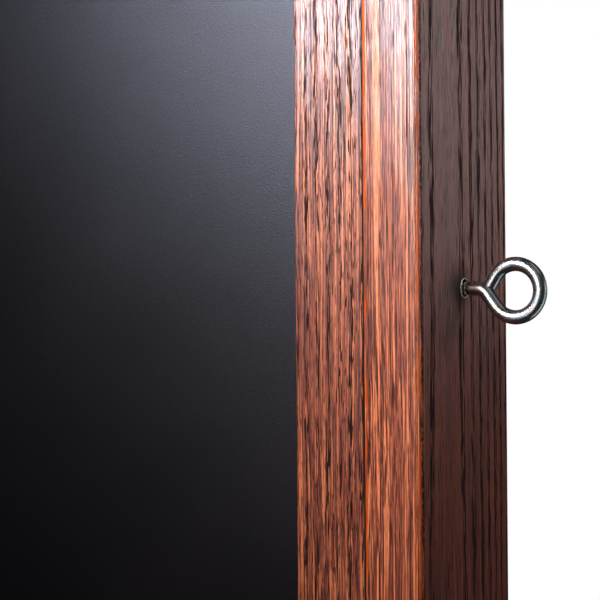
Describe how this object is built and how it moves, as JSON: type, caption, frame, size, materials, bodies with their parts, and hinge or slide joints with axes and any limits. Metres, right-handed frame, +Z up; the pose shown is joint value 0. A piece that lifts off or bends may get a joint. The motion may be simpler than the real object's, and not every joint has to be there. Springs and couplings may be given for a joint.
{
  "type": "hook and ring game",
  "caption": "Deep oak box frame with a black panel, a forward hook that holds a steel ring, a screw eye in the right side, and D-ring hangers behind.",
  "frame": {"origin": "middle of the underside of the bottom board, half way between its front and rear edges", "axes": "+Z up the board, the panel faces -Y, +X towards the screw eye"},
  "size_m": [0.436, 0.0987, 0.508],
  "materials": {
    "stained_oak": "red-brown stained oak under a satin lacquer",
    "trim_oak": "red-brown stained oak, flat sawn, under a satin lacquer",
    "black_panel": "hardboard painted a fine-grained matt blue-black",
    "plywood": "raw birch plywood",
    "pine": "planed pine",
    "zinc": "bright zinc plate on steel wire",
    "ring_steel": "bright polished steel",
    "nail_steel": "bright steel",
    "rubber": "black moulded rubber"
  },
  "bodies": {
    "board": {"bottom_board": "stained_oak", "right_board": "stained_oak", "top_board": "stained_oak", "left_board": "stained_oak", "bottom_trim": "trim_oak", "right_trim": "trim_oak", "top_trim": "trim_oak", "left_trim": "trim_oak", "panel": "black_panel", "backing": "plywood", "bottom_cleat": "pine", "right_cleat": "pine", "top_cleat": "pine", "left_cleat": "pine", "hook": "zinc", "hook_rose": "zinc", "cleat_screw_1": "zinc", "cleat_screw_2": "zinc", "cleat_screw_3": "zinc", "cleat_screw_4": "zinc", "cleat_screw_5": "zinc", "cleat_screw_6": "zinc", "cleat_screw_7": "zinc", "cleat_screw_8": "zinc", "panel_screw_1": "zinc", "panel_screw_2": "zinc", "panel_screw_3": "zinc", "panel_screw_4": "zinc", "panel_screw_5": "zinc", "panel_screw_6": "zinc", "corner_nail_1": "nail_steel", "corner_nail_2": "nail_steel", "corner_nail_3": "nail_steel", "corner_nail_4": "nail_steel", "corner_nail_5": "nail_steel", "corner_nail_6": "nail_steel", "corner_nail_7": "nail_steel", "corner_nail_8": "nail_steel", "left_hanger_strap": "zinc", "left_hanger_screw_1": "zinc", "left_hanger_screw_2": "zinc", "left_lower_bumper": "rubber", "left_upper_bumper": "rubber", "right_hanger_strap": "zinc", "right_hanger_screw_1": "zinc", "right_hanger_screw_2": "zinc", "right_lower_bumper": "rubber", "right_upper_bumper": "rubber"},
    "eye": {"screw_eye": "zinc"},
    "ring": {"ring": "ring_steel"},
    "left_hanger": {"left_hanger_ring": "zinc"},
    "right_hanger": {"right_hanger_ring": "zinc"}
  },
  "joints": [
    {"name": "eye_turn", "type": "hinge", "parent": "board", "child": "eye", "pos_m": [0.2032, 0, 0.254], "axis": [0.9984, 0, -0.0558], "range_deg": [-90, 90]},
    {"name": "ring_swing", "type": "hinge", "parent": "board", "child": "ring", "pos_m": [0, -0.04789, 0.22318], "axis": [0, 1, 0], "range_deg": [-75, 75]},
    {"name": "left_hanger_swing", "type": "hinge", "parent": "board", "child": "left_hanger", "pos_m": [-0.19368, 0.03475, 0.41656], "axis": [1, 0, 0], "range_deg": [0, 178]},
    {"name": "right_hanger_swing", "type": "hinge", "parent": "board", "child": "right_hanger", "pos_m": [0.19368, 0.03475, 0.41656], "axis": [1, 0, 0], "range_deg": [0, 178]}
  ]
}
